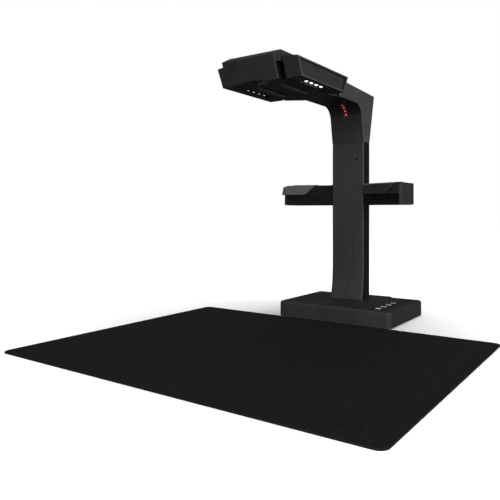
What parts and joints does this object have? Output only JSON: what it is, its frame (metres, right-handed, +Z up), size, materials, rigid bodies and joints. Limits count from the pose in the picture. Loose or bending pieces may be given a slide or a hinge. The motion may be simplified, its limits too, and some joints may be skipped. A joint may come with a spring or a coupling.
{
  "type": "book scanner",
  "caption": "Desk-standing overhead book scanner: weighted base, ribbed column, forward arm with a camera head and lamp pods, clip-on side light and a flat work mat.",
  "frame": {"origin": "on the table, under the middle of the whole footprint", "axes": "+Z up, +Y away from the user towards the column, +X to the user's right"},
  "size_m": [0.525, 0.5754, 0.3935],
  "materials": {
    "black_plastic": "fine matte texture",
    "trim_plastic": "smooth satin",
    "key_caps": "satin with a white symbol",
    "rubber_feet": "matte",
    "steel": "zinc plated",
    "cast_aluminium": "mill finish",
    "circuit_board": "solder resist",
    "led_board": "white board",
    "led_white": "clear moulded lens, lit",
    "diffuser": "frosted",
    "laser_red": "dark red, clear",
    "clear_glass": "coated",
    "mat_surface": "fine leather-like grain"
  },
  "bodies": {
    "stand": {"arm_inner_cover": "black_plastic", "arm_outer_shell": "black_plastic", "ballast_plate": "steel", "base_bottom_plate": "trim_plastic", "base_screw_front_left": "steel", "base_screw_front_right": "steel", "base_screw_rear_left": "steel", "base_screw_rear_right": "steel", "base_top_cover": "black_plastic", "camera_module": "circuit_board", "camera_window": "clear_glass", "column_front_cover": "black_plastic", "column_rear_cover": "trim_plastic", "column_upright": "cast_aluminium", "foot_front_left": "rubber_feet", "foot_front_right": "rubber_feet", "foot_rear_left": "rubber_feet", "foot_rear_right": "rubber_feet", "head_board": "circuit_board", "head_bottom_cover": "black_plastic", "head_top_cover": "black_plastic", "key_board": "circuit_board", "key_panel": "trim_plastic", "laser_lens_1": "laser_red", "laser_lens_2": "laser_red", "laser_lens_3": "laser_red", "laser_lens_4": "laser_red", "laser_module": "cast_aluminium", "laser_window": "laser_red", "led_board_left": "led_board", "led_board_right": "led_board", "led_lenses_left": "led_white", "led_lenses_right": "led_white", "lens_barrel": "trim_plastic", "lens_glass": "clear_glass", "light_pod_left": "black_plastic", "light_pod_right": "black_plastic", "main_board": "circuit_board", "pod_panel_left": "black_plastic", "pod_panel_right": "black_plastic", "power_inlet": "steel", "sensor_window": "clear_glass", "usb_socket": "steel", "video_socket": "steel"},
    "side_light": {"side_light_clip": "black_plastic", "wing_diffuser_left": "diffuser", "wing_diffuser_right": "diffuser", "wing_housing_left": "black_plastic", "wing_housing_right": "black_plastic", "wing_led_strip_left": "led_board", "wing_led_strip_right": "led_board"},
    "work_mat_body": {"work_mat": "mat_surface"},
    "scan_key_body": {"scan_key": "key_caps"},
    "light_key_body": {"light_key": "key_caps"},
    "mode_key_body": {"mode_key": "key_caps"},
    "power_key_body": {"power_key": "key_caps"}
  },
  "joints": [
    {"name": "scan_key_press", "type": "slide", "parent": "stand", "child": "scan_key_body", "axis": [0, 0, -1], "range_m": [0, 0.0008], "stiffness_N_per_m": 800},
    {"name": "light_key_press", "type": "slide", "parent": "stand", "child": "light_key_body", "axis": [0, 0, -1], "range_m": [0, 0.0008], "stiffness_N_per_m": 800},
    {"name": "mode_key_press", "type": "slide", "parent": "stand", "child": "mode_key_body", "axis": [0, 0, -1], "range_m": [0, 0.0008], "stiffness_N_per_m": 800},
    {"name": "power_key_press", "type": "slide", "parent": "stand", "child": "power_key_body", "axis": [0, 0, -1], "range_m": [0, 0.0008], "stiffness_N_per_m": 800},
    {"name": "side_light_pull_off", "type": "slide", "parent": "stand", "child": "side_light", "axis": [0, 1, 0], "range_m": [0, 0.09]},
    {"name": "work_mat_pull_forward", "type": "slide", "parent": "stand", "child": "work_mat_body", "axis": [0, -1, 0], "range_m": [0, 0.12]}
  ]
}
